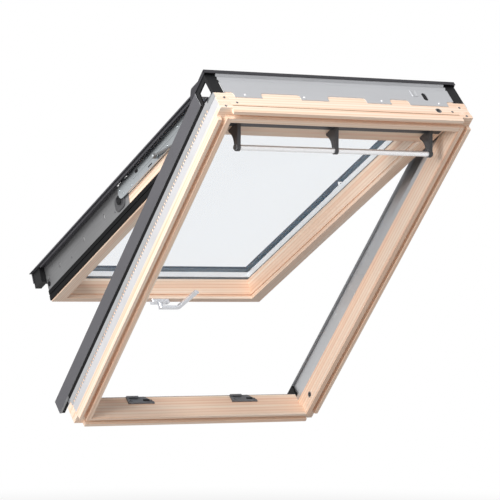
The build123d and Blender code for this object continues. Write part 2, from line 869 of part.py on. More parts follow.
top_inner = sash_high - top_rail_width
with BuildPart() as top_rail:
    with BuildSketch(sash.along(stile_inner)):
        outline([
            (top_inner, sash_room),
            (sash_high, sash_room),
            (sash_high, sash_outer),
            (top_inner, sash_outer),
            (top_inner, bead_high),
            (top_inner + bead_depth, bead_high),
            (top_inner + bead_depth, bead_low),
            (top_inner, bead_low),
        ])
    extrude(amount=2 * stile_inner)
save(top_rail, "top_rail")

# Glazing unit: seal, inner pane, spacer, outer pane
inner_pane_n = sash_outer + seal_thickness
spacer_n = inner_pane_n + pane_thickness
outer_pane_n = spacer_n + pane_gap
glass_outer_n = outer_pane_n + pane_thickness


def ring(n_outer, thickness, u_outer, v_low, v_high, width):
    """Flat rectangular ring parallel to the sash."""
    with BuildSketch(sash.flat(n_outer)) as section:
        block(-u_outer, u_outer, v_low, v_high)
        block(-u_outer + width, u_outer - width, v_low + width, v_high - width, mode=Mode.SUBTRACT)
    extrude(section.sketch, amount=thickness)


def pane(n_outer):
    """Sheet of glass between the sash's upstands."""
    with BuildSketch(sash.flat(n_outer)) as section:
        block(-pane_half_width, pane_half_width, pane_low, pane_high)
    extrude(section.sketch, amount=pane_thickness)


with BuildPart() as glazing_seal:
    seal_outer = stile_inner - seal_proud + seal_width
    ring(inner_pane_n, seal_thickness, seal_outer, bottom_inner + seal_proud - seal_width,
         top_inner - seal_proud + seal_width, seal_width)
save(glazing_seal, "glazing_seal")

with BuildPart() as inner_pane:
    pane(spacer_n)
save(inner_pane, "inner_pane")

with BuildPart() as spacer:
    ring(outer_pane_n, pane_gap, pane_half_width - spacer_inset, pane_low + spacer_inset,
         pane_high - spacer_inset, spacer_width)
save(spacer, "spacer")

with BuildPart() as outer_pane:
    pane(glass_outer_n)
save(outer_pane, "outer_pane")

# Bottom and top cladding
with BuildPart() as bottom_cover:
    with BuildSketch(sash.along(clad_outer)):
        folded(
            [
                (lower_clad_low - bottom_clad_gap, clad_inner_low),
                (lower_clad_low - bottom_clad_gap, clad_top),
                (bottom_clad_low, clad_top),
                (bottom_clad_low, clad_top - bottom_clad_skirt),
            ],
            clad_sheet,
            Side.LEFT,
        )
    extrude(amount=2 * clad_outer)
    for name, side in sides:
        across_block(sash, side * (clad_inner + clad_sheet), side * (clad_outer + cut_overrun),
                     clad_inner_low - cut_overrun, clad_under, lower_clad_low - cut_overrun, lower_clad_low,
                     mode=Mode.SUBTRACT)
        across_block(sash, side * clad_web, side * (clad_outer + cut_overrun),
                     clad_top - bottom_clad_skirt - cut_overrun, clad_under, bottom_clad_low - cut_overrun,
                     lower_clad_low, mode=Mode.SUBTRACT)
save(bottom_cover, "bottom_cover")

with BuildPart() as top_cover:
    with BuildSketch(sash.along(clad_inner - top_clad_gap)):
        folded(
            [
                (top_clad_low, clad_inner_low),
                (top_clad_low, clad_top),
                (top_clad_high, clad_top),
                (top_clad_high, sash_outer + clad_sheet),
                (top_clad_end, sash_outer + clad_sheet),
            ],
            clad_sheet,
            Side.RIGHT,
        )
    extrude(amount=2 * (clad_inner - top_clad_gap))
save(top_cover, "top_cover")

# Sash side plates with the pivot shoes, gaskets and end caps
for name, side in sides:
    with BuildPart() as plate:
        plate_outer = sash_half_width + side_plate_thickness
        with BuildSketch(sash.along(outer_side(side, plate_outer, sash_half_width))):
            outline([
                (side_plate_low, side_plate_start),
                (side_plate_neck_v, side_plate_start),
                (side_plate_neck_v + side_plate_eye_radius, side_plate_neck_n),
                (pivot_v + side_plate_eye_radius, pivot_n),
                (pivot_v - side_plate_eye_radius, pivot_n),
                (side_plate_neck_v - side_plate_eye_radius, side_plate_neck_n),
                (lower_clad_high, side_plate_neck_n),
                (lower_clad_high, clad_under),
                (side_plate_low, clad_under),
            ])
            with Locations((pivot_v, pivot_n)):
                Circle(side_plate_eye_radius)
                Circle(pivot_pin_radius + running_clearance, mode=Mode.SUBTRACT)
            for share in side_plate_slot_shares:
                with Locations((share * pivot_v, side_plate_slot_n)):
                    SlotOverall(side_plate_slot_length, side_plate_slot_width, rotation=90,
                                mode=Mode.SUBTRACT)
        extrude(amount=side_plate_thickness)
        side_disc(sash, side, plate_outer, plate_outer + side_plate_boss_rise,
                  side_plate_boss_v, side_plate_boss_n, side_plate_boss_radius)
        side_disc(sash, side, plate_outer, plate_outer + side_plate_boss_rise,
                  side_plate_low + side_plate_boss_radius, side_plate_boss_n, side_plate_boss_radius / 2)
    save(plate, f"{name}_side_plate")

    with BuildPart() as sash_gasket:
        gasket_face = sash_half_width + sash_gasket_thickness
        gasket_floor = gasket_face - sash_gasket_groove_depth
        groove_end = sash_gasket_groove + sash_gasket_groove_width
        with BuildSketch(sash.across(side_plate_low)):
            outline([
                (side * sash_half_width, sash_gasket_start),
                (side * gasket_face, sash_gasket_start),
                (side * gasket_face, sash_gasket_groove),
                (side * gasket_floor, sash_gasket_groove),
                (side * gasket_floor, groove_end),
                (side * gasket_face, groove_end),
                (side * gasket_face, side_plate_start - seat_gap),
                (side * sash_half_width, side_plate_start - seat_gap),
            ])
        extrude(amount=sash_high - 2 * side_plate_low + sash_low)
    save(sash_gasket, f"{name}_sash_gasket")

    with BuildPart() as end_cap:
        cap_low = bottom_clad_low + clad_sheet
        across_block(sash, side * sash_half_width, side * end_cap_outer, end_cap_start, clad_under,
                     cap_low, side_plate_low)
    save(end_cap, f"{name}_end_cap")

# Cleaning bolt
with BuildPart() as cleaning_bolt:
    side_disc(sash, 1, sash_half_width - bolt_length, sash_half_width, bolt_v, bolt_n, bolt_radius)
save(cleaning_bolt, "cleaning_bolt")

# Handle base, handle and lock rod
base_room = sash_room - handle_base_thickness
with BuildPart() as handle_base:
    with BuildSketch(sash.flat(sash_room)):
        with Locations((0, handle_v)):
            RectangleRounded(handle_base_length, handle_base_width, handle_base_round)
    extrude(amount=handle_base_thickness, taper=edge_round * 2)
    with BuildSketch(sash.flat(base_room + handle_spindle_depth)):
        with Locations((0, handle_v)):
            Circle(handle_spindle_radius + running_clearance)
    extrude(amount=handle_base_thickness, mode=Mode.SUBTRACT)
save(handle_base, "handle_base")

with BuildPart() as handle:
    with BuildSketch(sash.flat(base_room + handle_spindle_depth - running_clearance)):
        with Locations((0, handle_v)):
            Circle(handle_spindle_radius)
    extrude(amount=handle_spindle_depth + handle_neck_length)
    strap_n = base_room - handle_neck_length + handle_strap_thickness
    with BuildSketch(sash.flat(strap_n)):
        with Locations((handle_reach / 2, handle_v)):
            SlotOverall(handle_reach + handle_strap_width, handle_strap_width)
    extrude(amount=handle_strap_thickness)
    grip_root = sash.point(handle_reach, handle_v, strap_n - handle_strap_thickness / 2)
    grip_run = Vector(sin(radians(handle_grip_lean)), 0, 0) + sash.up * cos(radians(handle_grip_lean))
    grip_angle = atan2(handle_grip_rise, handle_grip_length)
    grip_dir = grip_run * cos(grip_angle) + sash.out * sin(grip_angle)
    grip_side = Vector(cos(radians(handle_grip_lean)), 0, 0) - sash.up * sin(radians(handle_grip_lean))
    with BuildSketch(Plane(grip_root, x_dir=grip_side, z_dir=grip_dir)):
        RectangleRounded(handle_grip_width, handle_grip_thickness, handle_grip_round)
    extrude(amount=handle_grip_length)
save(handle, "handle")

with BuildPart() as lock_rod:
    across_block(sash, -lock_rod_half_length, lock_rod_half_length, lock_rod_n - lock_half,
                 lock_rod_n + lock_half, rod_low, rod_high)
    with BuildSketch(sash.across(rod_low - lock_cam_length)):
        for name, side in sides:
            with Locations((side * striker_u + lock_cam_offset, lock_rod_n)):
                Circle(lock_cam_radius)
    extrude(amount=lock_cam_length)
save(lock_rod, "lock_rod")

# Control bar, brackets and flap
with BuildPart() as control_bar:
    side_disc(sash, 1, -bar_half_length, bar_half_length, bar_v, bar_n, bar_radius)
save(control_bar, "control_bar")

with BuildPart() as bar_brackets:
    for place in bar_bracket_places:
        half_fin = bar_bracket_thickness / 2
        with BuildSketch(sash.along(place + half_fin)):
            with BuildLine():
                tip = (bar_v + bar_socket_radius, bar_n)
                heel = (bar_v - bar_socket_radius, bar_n)
                ear = (bar_ear_v, flap_outer)
                ear_front = (bar_ear_v, flap_outer - bar_ear_depth)
                crown = (flap_low, flap_outer)
                crown_front = (flap_high, flap_room)
                waist = ((bar_v + bar_ear_v) / 2, (bar_n + flap_room) / 2)
                Line(ear, crown)
                Line(crown, (flap_low, flap_room))
                Line((flap_low, flap_room), crown_front)
                Line(crown_front, tip)
                ThreePointArc(tip, (bar_v, bar_n - bar_socket_radius), heel)
                ThreePointArc(heel, (waist[0] + bar_socket_radius / 2, waist[1]), ear_front)
                Line(ear_front, ear)
            make_face()
            with Locations((bar_v, bar_n)):
                Circle(bar_radius, mode=Mode.SUBTRACT)
        extrude(amount=bar_bracket_thickness)
save(bar_brackets, "bar_brackets")

with BuildPart() as vent_flap:
    across_block(sash, -flap_half_length, flap_half_length, flap_room, flap_outer, flap_low, flap_high)
save(vent_flap, "vent_flap")

# Support struts, placed along the line from the frame's foot pin to the arm's boss
foot_point = frame.point(0, strut_foot_v, strut_foot_n)
end_point = sash.point(0, strut_end_v, strut_end_n)
strut_line = end_point - foot_point
strut_length = strut_line.length
strut_dir = strut_line.normalized()


def strut_plane(side, distance):
    """Plane square to a strut, at a distance from its foot pin."""
    centre = foot_point + strut_dir * distance + Vector(side * strut_centre, 0, 0)
    return Plane(centre, x_dir=(1, 0, 0), z_dir=strut_dir)


def strut_eye(side, distance, radius):
    """Flat eye across the strut."""
    high = side * strut_centre + strut_eye_width / 2
    centre = foot_point + strut_dir * distance + Vector(high, 0, 0)
    with BuildSketch(Plane(centre, x_dir=strut_dir, z_dir=(-1, 0, 0))) as section:
        Circle(radius)
    extrude(section.sketch, amount=strut_eye_width)


rod_start = strut_tube_length / 2
for name, side in sides:
    with BuildPart() as tube:
        with BuildSketch(strut_plane(side, 0)):
            Circle(strut_tube_radius)
        extrude(amount=strut_tube_length)
        strut_eye(side, 0, strut_eye_radius)
        high = side * strut_centre + strut_eye_width
        with BuildSketch(Plane(foot_point + Vector(high, 0, 0), x_dir=strut_dir, z_dir=(-1, 0, 0))):
            Circle(strut_pin_radius + running_clearance)
        extrude(amount=2 * strut_eye_width, mode=Mode.SUBTRACT)
        with BuildSketch(strut_plane(side, rod_start)):
            Circle(strut_rod_radius + running_clearance)
        extrude(amount=strut_tube_length, mode=Mode.SUBTRACT)
    save(tube, f"{name}_strut_tube")

    with BuildPart() as rod:
        rod_end = strut_tube_length * strut_overlap_share
        with BuildSketch(strut_plane(side, rod_end)):
            Circle(strut_rod_radius)
        extrude(amount=strut_length - rod_end)
        strut_eye(side, strut_length, strut_eye_radius)
    save(rod, f"{name}_strut_rod")
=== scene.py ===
"""Looks of the pine roof skylight: materials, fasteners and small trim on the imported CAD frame."""

import math

import bmesh
import bpy
from mathutils import Matrix, Vector


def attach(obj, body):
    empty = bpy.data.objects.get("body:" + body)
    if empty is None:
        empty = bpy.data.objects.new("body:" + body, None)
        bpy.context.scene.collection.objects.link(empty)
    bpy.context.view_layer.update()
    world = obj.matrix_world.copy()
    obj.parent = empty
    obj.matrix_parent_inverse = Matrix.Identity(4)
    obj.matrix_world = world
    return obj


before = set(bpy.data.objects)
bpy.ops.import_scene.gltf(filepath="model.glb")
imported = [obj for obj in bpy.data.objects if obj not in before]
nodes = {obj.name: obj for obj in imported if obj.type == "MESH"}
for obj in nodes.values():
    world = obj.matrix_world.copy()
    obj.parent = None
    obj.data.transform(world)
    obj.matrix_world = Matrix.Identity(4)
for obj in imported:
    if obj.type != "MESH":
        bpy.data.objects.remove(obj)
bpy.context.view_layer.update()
scene = bpy.context.scene
MM = 0.001

# The two leaves, as in the part's source: u across, v up the slope, n outward, in millimetres
PITCH = 45.0
OPENING = 20.0
LIP_MIDDLE = 5.0
LIP_LEVEL = -14.0
HINGE_V = 1150.0
HINGE_N = 100.0


class Leaf:
    """Directions of a leaf at a slope, and places on it in metres."""

    def __init__(self, slope, swing_v, swing_n, swing_point):
        turn = math.radians(slope)
        self.across = Vector((1, 0, 0))
        self.up = Vector((0, -math.cos(turn), math.sin(turn)))
        self.out = Vector((0, math.sin(turn), math.cos(turn)))
        self.slope = turn
        self.origin = swing_point - self.up * swing_v * MM - self.out * swing_n * MM

    def point(self, u, v, n):
        return self.origin + (self.across * u + self.up * v + self.out * n) * MM


roof = Leaf(PITCH, LIP_MIDDLE, LIP_LEVEL, Vector((0, 0, 0)))
leaf = Leaf(PITCH - OPENING, HINGE_V, HINGE_N, roof.point(0, HINGE_V, HINGE_N))


# Materials
ALONG_X = (0, 0, math.radians(90))
PINE_GROWTH = (62, 0.8, 62)
PINE_RINGS = (88, 0.5, 61)
PINE_FIBRE = (640, 6, 640)
PINE_LINE_SHARE = 0.65
PINE_PORE_SHARE = 0.6
SLOW_STRETCH = (9, 3, 9)
LACQUER_SPECULAR = 0.25
GLASS_ALPHA = 0.045
SCREEN_STEPS = 255


def srgb(red, green, blue):
    """Linear colour of an 8-bit screen colour."""
    def linear(level):
        level /= SCREEN_STEPS
        return level / 12.92 if level <= 0.04045 else ((level + 0.055) / 1.055) ** 2.4
    return (linear(red), linear(green), linear(blue), 1.0)


def material(name):
    """New material with its node tree, its main shader and a place reader in the row frame."""
    made = bpy.data.materials.new(name)
    made.use_nodes = True
    tree = made.node_tree
    shader = tree.nodes["Principled BSDF"]
    place = tree.nodes.new("ShaderNodeTexCoord")
    return made, tree, shader, place.outputs["Object"]


def mapped(tree, place, turn=(0, 0, 0), scale=(1, 1, 1)):
    """Place turned, then multiplied along the turned axes, for a texture."""
    node = tree.nodes.new("ShaderNodeMapping")
    node.vector_type = "TEXTURE"
    node.inputs["Rotation"].default_value = turn
    node.inputs["Scale"].default_value = tuple(1 / share for share in scale)
    tree.links.new(place, node.inputs["Vector"])
    return node.outputs["Vector"]


def noise(tree, vector, scale, detail=4.0, roughness=0.55, distortion=0.0):
    """Noise texture read at a place."""
    node = tree.nodes.new("ShaderNodeTexNoise")
    node.inputs["Scale"].default_value = scale
    node.inputs["Detail"].default_value = detail
    node.inputs["Roughness"].default_value = roughness
    node.inputs["Distortion"].default_value = distortion
    tree.links.new(vector, node.inputs["Vector"])
    return node.outputs["Fac"]


def ramp(tree, value, stops):
    """Colour ramp through (position, colour) stops."""
    node = tree.nodes.new("ShaderNodeValToRGB")
    points = node.color_ramp.elements
    while len(points) < len(stops):
        points.new(0.5)
    for point, (position, colour) in zip(points, stops):
        point.position = position
        point.color = colour
    tree.links.new(value, node.inputs["Fac"])
    return node.outputs["Color"]


def grey(level):
    """Linear grey of a level."""
    return (level, level, level, 1.0)


def mixed(tree, kind, share, first, second):
    """Two colours blended by a share, each a socket or a constant."""
    node = tree.nodes.new("ShaderNodeMix")
    node.data_type = "RGBA"
    node.blend_type = kind
    for socket, value in ((node.inputs[0], share), (node.inputs[6], first), (node.inputs[7], second)):
        if isinstance(value, bpy.types.NodeSocket):
            tree.links.new(value, socket)
        else:
            socket.default_value = value
    return node.outputs[2]


def bump(tree, shader, height, strength, distance=0.0004):
    """Bump from a height socket on a shader."""
    node = tree.nodes.new("ShaderNodeBump")
    node.inputs["Strength"].default_value = strength
    node.inputs["Distance"].default_value = distance
    tree.links.new(height, node.inputs["Height"])
    tree.links.new(node.outputs["Normal"], shader.inputs["Normal"])


def pine(name, turn, across=False):
    """Clear-lacquered pine with straight grain up a slope, or across it on a rail."""
    made, tree, shader, place = material(name)
    if across:
        place = mapped(tree, place, turn)
        turn = ALONG_X
    growth = noise(tree, mapped(tree, place, turn, PINE_GROWTH), 1.0, 3.0, 0.5, 0.15)
    rings = tree.nodes.new("ShaderNodeTexWave")
    rings.wave_type = "BANDS"
    rings.bands_direction = "DIAGONAL"
    rings.inputs["Scale"].default_value = 1.0
    rings.inputs["Distortion"].default_value = 3.2
    rings.inputs["Detail"].default_value = 2.0
    rings.inputs["Detail Scale"].default_value = 0.35
    tree.links.new(mapped(tree, place, turn, PINE_RINGS), rings.inputs["Vector"])
    fibre = noise(tree, mapped(tree, place, turn, PINE_FIBRE), 1.0, 5.0, 0.6)
    light, mid, dark = srgb(254, 236, 218), srgb(252, 220, 195), srgb(241, 190, 158)
    body = ramp(tree, growth, ((0.32, light), (0.56, mid), (0.82, dark)))
    early, late = srgb(252, 249, 246), srgb(236, 221, 207)
    lines = ramp(tree, rings.outputs["Fac"], ((0.0, grey(1.0)), (0.66, early), (1.0, late)))
    pores = ramp(tree, fibre, ((0.3, grey(0.95)), (0.62, grey(1.0))))
    grained = mixed(tree, "MULTIPLY", PINE_LINE_SHARE, body, lines)
    colour = mixed(tree, "MULTIPLY", PINE_PORE_SHARE, grained, pores)
    tree.links.new(colour, shader.inputs["Base Color"])
    rough = ramp(tree, fibre, ((0.2, grey(0.36)), (0.8, grey(0.48))))
    tree.links.new(rough, shader.inputs["Roughness"])
    shader.inputs["Coat Weight"].default_value = 0.12
    shader.inputs["Coat Roughness"].default_value = 0.25
    bump(tree, shader, fibre, 0.1)
    return made


def metal(name, colour, roughness, turn=(0, 0, 0), stretch=(900, 12, 900), metallic=1.0, mottle=0.06):
    """Metal with fine lines along the turned Y axis and a slow change of tone."""
    made, tree, shader, place = material(name)
    lines = noise(tree, mapped(tree, place, turn, stretch), 1.0, 3.0, 0.6)
    tone = noise(tree, mapped(tree, place, turn, SLOW_STRETCH), 1.0, 3.0, 0.5)
    shades = ramp(tree, tone, ((0.3, grey(1.0 - mottle)), (0.7, grey(1.0))))
    tree.links.new(mixed(tree, "MULTIPLY", 1.0, colour, shades), shader.inputs["Base Color"])
    spread = ramp(tree, lines, ((0.25, grey(roughness * 0.8)), (0.75, grey(min(1.0, roughness * 1.25)))))
    tree.links.new(spread, shader.inputs["Roughness"])
    shader.inputs["Metallic"].default_value = metallic
    bump(tree, shader, lines, 0.05)
    return made


def moulded(name, colour, roughness, grain=700.0, strength=0.15, specular=0.5):
    """Plastic, rubber or powder coat with a fine skin."""
    made, tree, shader, place = material(name)
    skin = noise(tree, mapped(tree, place), grain, 3.0, 0.6)
    tone = noise(tree, mapped(tree, place), 12.0, 3.0, 0.5)
    shades = ramp(tree, tone, ((0.3, grey(0.9)), (0.7, grey(1.0))))
    tree.links.new(mixed(tree, "MULTIPLY", 1.0, colour, shades), shader.inputs["Base Color"])
    spread = ramp(tree, skin, ((0.3, grey(roughness * 0.9)), (0.7, grey(min(1.0, roughness * 1.1)))))
    tree.links.new(spread, shader.inputs["Roughness"])
    shader.inputs["Specular IOR Level"].default_value = specular
    bump(tree, shader, skin, strength, 0.0002)
    return made


def lined_cover(name, outside, inside, directions, reach=None):
    """Lacquered sheet, bare metal on its hidden side, told apart by its normals and its reach across."""
    made, tree, shader, place = material(name)
    reader = tree.nodes.new("ShaderNodeTexCoord")
    facing = None
    for direction in directions:
        along = tree.nodes.new("ShaderNodeVectorMath")
        along.operation = "DOT_PRODUCT"
        along.inputs[1].default_value = direction
        tree.links.new(reader.outputs["Normal"], along.inputs[0])
        if facing is None:
            facing = along.outputs["Value"]
            continue
        join = tree.nodes.new("ShaderNodeMath")
        join.operation = "MAXIMUM"
        tree.links.new(facing, join.inputs[0])
        tree.links.new(along.outputs["Value"], join.inputs[1])
        facing = join.outputs[0]
    if reach:
        axes = tree.nodes.new("ShaderNodeSeparateXYZ")
        tree.links.new(place, axes.inputs["Vector"])
        beyond = axes.outputs["X"]
        for operation, value in (("ABSOLUTE", None), ("GREATER_THAN", reach), ("MAXIMUM", facing)):
            step = tree.nodes.new("ShaderNodeMath")
            step.operation = operation
            tree.links.new(beyond, step.inputs[0])
            if isinstance(value, float):
                step.inputs[1].default_value = value
            elif value:
                tree.links.new(value, step.inputs[1])
            beyond = step.outputs[0]
        facing = beyond
    share = ramp(tree, facing, ((0.25, grey(0.0)), (0.45, grey(1.0))))
    tone = noise(tree, mapped(tree, place), 9.0, 3.0, 0.5)
    shades = ramp(tree, tone, ((0.3, grey(0.9)), (0.7, grey(1.0))))
    colour = mixed(tree, "MULTIPLY", 1.0, mixed(tree, "MIX", share, inside, outside), shades)
    tree.links.new(colour, shader.inputs["Base Color"])
    skin = noise(tree, mapped(tree, place), 900.0, 3.0, 0.6)
    tree.links.new(ramp(tree, skin, ((0.3, grey(0.48)), (0.7, grey(0.56)))), shader.inputs["Roughness"])
    shader.inputs["Specular IOR Level"].default_value = LACQUER_SPECULAR
    bump(tree, shader, skin, 0.08, 0.0002)
    return made


def clear_glass(name, tint):
    """Pane seen mostly through, with a faint cool tint that changes slowly over it."""
    made, tree, shader, place = material(name)
    haze = noise(tree, mapped(tree, place), 2.2, 2.0, 0.5)
    shades = ramp(tree, haze, ((0.3, tint), (0.7, tuple(min(1.0, level * 1.06) for level in tint))))
    tree.links.new(shades, shader.inputs["Base Color"])
    shader.inputs["Roughness"].default_value = 0.02
    shader.inputs["Alpha"].default_value = GLASS_ALPHA
    return made


UP_ROOF = (-roof.slope, 0, 0)
UP_LEAF = (-leaf.slope, 0, 0)
pine_roof = pine("pine_jambs", UP_ROOF)
pine_leaf = pine("pine_stiles", UP_LEAF)
pine_roof_across = pine("pine_head_and_sill", UP_ROOF, across=True)
pine_leaf_across = pine("pine_rails", UP_LEAF, across=True)
CLADDING = srgb(84, 83, 87)
grey_lacquer = moulded("grey_lacquer", CLADDING, 0.5, 900.0, 0.08, LACQUER_SPECULAR)
# The hood's lacquer is a darker copy of the cladding colour. This is painted shade that keeps its lamp-lit
# front dark.
hood_lacquer_painted_shade = moulded("hood_lacquer_painted_shade", srgb(52, 51, 55), 0.5, 900.0, 0.08, LACQUER_SPECULAR)
black_rubber = moulded("black_rubber", srgb(15, 15, 16), 0.7, 500.0, 0.2, 0.12)
black_plastic = moulded("black_plastic", srgb(20, 20, 22), 0.55, 800.0, 0.15, 0.2)
# The seam strip's brown is the joint line with the shade in it painted in.
seam_shade_wood = moulded("pine_seam_painted_shade", srgb(150, 112, 84), 0.6, 500.0, 0.2, 0.2)
strip_plastic = moulded("light_strip", srgb(205, 204, 206), 0.45)
grey_plastic = moulded("dark_grey_plastic", srgb(66, 66, 68), 0.42)
silver_across = metal("silver_sheet", srgb(194, 195, 198), 0.46, ALONG_X, metallic=0.7)
silver_roof = metal("silver_rail", srgb(196, 197, 199), 0.42, UP_ROOF)
# The spacer is near white and not metallic so it stays pale in the shade of the covers and pane edges.
# This is painted light.
painted_highlight_spacer = metal("painted_highlight_spacer", srgb(252, 252, 252), 0.3, UP_LEAF, metallic=0.0)
zinc = metal("zinc_steel", srgb(190, 195, 198), 0.34, UP_LEAF, (300, 9, 300), mottle=0.16)
plate_steel = metal("plate_steel", srgb(134, 134, 135), 0.42, UP_LEAF, (260, 8, 260),
                    metallic=0.55, mottle=0.2)
dark_steel = metal("dark_steel", srgb(112, 113, 116), 0.4, ALONG_X, (500, 60, 500),
                   metallic=0.7, mottle=0.15)
bar_metal = metal("bar_aluminium", srgb(253, 253, 254), 0.26, ALONG_X, metallic=0.6)
handle_metal = metal("handle_chrome", srgb(228, 229, 233), 0.22, UP_LEAF, (260, 60, 260), metallic=0.8)
seal_grey = moulded("seal_grey", srgb(128, 131, 134), 0.5, 420.0, 0.6, 0.4)
glass = clear_glass("window_glass", srgb(96, 188, 244))

CLAD_REACH = 0.346
clad_faces = ((1, 0, 0), (-1, 0, 0), tuple(leaf.out), tuple(leaf.up), tuple(-leaf.up))
clad_lacquer = lined_cover("clad_lacquer", CLADDING, srgb(226, 227, 229), clad_faces, CLAD_REACH)
lacquer, bare = srgb(92, 91, 95), srgb(176, 177, 179)
cover_finish = {"left": lined_cover("left_cover_lacquer", lacquer, bare, ((-1, 0, 0), tuple(roof.out))),
                "right": lined_cover("right_cover_lacquer", lacquer, bare, ((1, 0, 0), tuple(roof.out)))}

finish = {}
for name in ("left_jamb", "right_jamb"):
    finish[name] = pine_roof
for name in ("left_stile", "right_stile"):
    finish[name] = pine_leaf
for name in ("head", "sill"):
    finish[name] = pine_roof_across
for name in ("bottom_rail", "top_rail"):
    finish[name] = pine_leaf_across
finish["hood"] = hood_lacquer_painted_shade
for name in ("bottom_cover", "top_cover"):
    finish[name] = clad_lacquer
finish["sill_apron"] = grey_lacquer
finish["head_sheet"] = silver_across
finish["spacer"] = painted_highlight_spacer
finish["control_bar"] = bar_metal
for name in ("bar_brackets", "vent_flap"):
    finish[name] = grey_plastic
finish["glazing_seal"] = seal_grey
for name in ("inner_pane", "outer_pane"):
    finish[name] = glass
for name in ("handle", "handle_base"):
    finish[name] = handle_metal
finish["bolt_bushes"] = plate_steel
for name in ("lock_rod", "hinge_pins", "cleaning_bolt"):
    finish[name] = zinc
for side in ("left", "right"):
    finish[f"{side}_side_cover"] = cover_finish[side]
    for piece in ("upper_cover", "lower_cover"):
        finish[f"{side}_{piece}"] = clad_lacquer
    for piece in ("side_gasket", "sash_gasket"):
        finish[f"{side}_{piece}"] = black_rubber
    for piece in ("cover_end", "hood_end", "end_cap"):
        finish[f"{side}_{piece}"] = black_plastic
    finish[f"{side}_side_strip"] = strip_plastic
    finish[f"{side}_toothed_rail"] = silver_roof
    finish[f"{side}_striker"] = dark_steel
    for piece in ("side_plate", "strut_tube", "strut_rod"):
        finish[f"{side}_{piece}"] = plate_steel
    for piece in ("arm", "hinge_bracket"):
        finish[f"{side}_{piece}"] = zinc

# Softened edges on the pieces that keep their CAD shape
EDGE_WIDTHS = {"pine_jambs": 1.6, "pine_stiles": 1.6, "pine_rails": 1.6,
               "pine_head_and_sill": 1.6, "grey_lacquer": 0.4, "clad_lacquer": 0.4, "hood_lacquer_painted_shade": 0.4,
               "dark_grey_plastic": 0.9, "handle_chrome": 0.9, "black_plastic": 0.8}
EDGE_ANGLE = math.radians(40)


def soften(thing, width):
    """Rounded arrises and smooth shading, as a modifier."""
    edge = thing.modifiers.new("edge", "BEVEL")
    edge.width = width * MM
    edge.segments = 2
    edge.limit_method = "ANGLE"
    edge.angle_limit = EDGE_ANGLE
    edge.harden_normals = True


for name, thing in nodes.items():
    thing.data.materials.clear()
    thing.data.materials.append(finish[name])
    width = EDGE_WIDTHS.get(finish[name].name)
    if width:
        soften(thing, width)


# Fasteners and small fittings: lathed and lofted pieces seated on the CAD surfaces
SEGMENTS = 36
LOBES = 6
LOBE_DEPTH = 0.16


def rings_to_piece(name, rings, finish_used):
    """Piece from rings of points in millimetres, closed by a face at each end."""
    mesh = bmesh.new()
    loops = [[mesh.verts.new(Vector(point) * MM) for point in ring] for ring in rings]
    for lower, upper in zip(loops, loops[1:]):
        for step in range(len(lower)):
            after = (step + 1) % len(lower)
            mesh.faces.new((lower[step], lower[after], upper[after], upper[step]))
    mesh.faces.new(list(reversed(loops[0])))
    mesh.faces.new(loops[-1])
    bmesh.ops.recalc_face_normals(mesh, faces=mesh.faces)
    data = bpy.data.meshes.new(name)
    mesh.to_mesh(data)
    mesh.free()
    data.shade_smooth()
    data.set_sharp_from_angle(angle=EDGE_ANGLE)
    data.materials.append(finish_used)
    thing = bpy.data.objects.new(name, data)
    scene.collection.objects.link(thing)
    return thing


def lathe(name, profile, finish_used):
    """Round piece from (radius, height, lobed) stations, where lobed stations make a six-lobe recess."""
    rings = []
    for radius, height, lobed in profile:
        ring = []
        for step in range(SEGMENTS):
            angle = 2 * math.pi * step / SEGMENTS
            reach = radius * (1 + LOBE_DEPTH * math.cos(LOBES * angle)) if lobed else radius
            ring.append((reach * math.cos(angle), reach * math.sin(angle), height))
        rings.append(ring)
    return rings_to_piece(name, rings, finish_used)


def pad(name, length, width, rounding, stations, finish_used, slot_name):
    """Rounded rectangle lofted through (inset, height) stations."""
    rings = []
    for inset, height in stations:
        half_x, half_y = length / 2 - inset, width / 2 - inset
        corner = max(rounding - inset, min(half_x, half_y) * 0.2)
        ring = []
        for step in range(SEGMENTS):
            angle = 2 * math.pi * (step + 0.5) / SEGMENTS
            side_x = math.copysign(half_x - corner, math.cos(angle))
            side_y = math.copysign(half_y - corner, math.sin(angle))
            ring.append((side_x + corner * math.cos(angle), side_y + corner * math.sin(angle), height))
        rings.append(ring)
    return rings_to_piece(name, rings, finish_used)


def seat(thing, point, outward, along, body):
    """Stand a piece on a point, its Z outward and its X as near as can be to a direction."""
    up = outward.normalized()
    run = (along - up * along.dot(up)).normalized()
    turn = Matrix((run, up.cross(run), up)).transposed()
    thing.matrix_world = Matrix.Translation(point) @ turn.to_4x4()
    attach(thing, body)


def screw_profile(radius, height):
    """Stations of a screw head with a six-lobe recess."""
    return [(radius, 0, False), (radius, 0.3 * height, False), (0.86 * radius, 0.8 * height, False),
            (0.6 * radius, height, False), (0.46 * radius, 0.98 * height, True),
            (0.4 * radius, 0.35 * height, True), (0.1 * radius, 0.3 * height, False)]


def rivet_profile(radius, height):
    """Stations of a low domed head."""
    return [(radius, 0, False), (radius, 0.25 * height, False), (0.88 * radius, 0.65 * height, False),
            (0.6 * radius, 0.92 * height, False), (0.2 * radius, height, False)]


def turned(*stations):
    """Lathe stations without a recess, from (radius, height) pairs."""
    return [(radius, height, False) for radius, height in stations]


# Faces that carry the fittings and places on them: (v, n) on the sides, (u, n) on the head, in millimetres
ACROSS = Vector((1, 0, 0))
HANDS = (("left", -1), ("right", 1))
FRAME_HEIGHT = 1178.0
SHEET_FACE = 1179.5
ARM_FACE = 356.0
PLATE_FACE = 348.9
SHOE_FACE = 351.9
GUARD_FACE = 352.0
JOINT_FACE = 321.85
STRUT_CAP_FACE = 367.0
BAR_END = 304.0

STRIKER_U = 170.0
STRIKER_FACE = 28.5
STRIKER_SCREWS = (("a", -33.0), ("b", 33.0))
STRIKER_SCREW_N = 53.0
RECESS_SHIFT = 20.0
RECESS_N = 56.0
HEAD_SCREWS = ((333.0, 22.0), (364.0, 40.0), (372.0, 7.0))
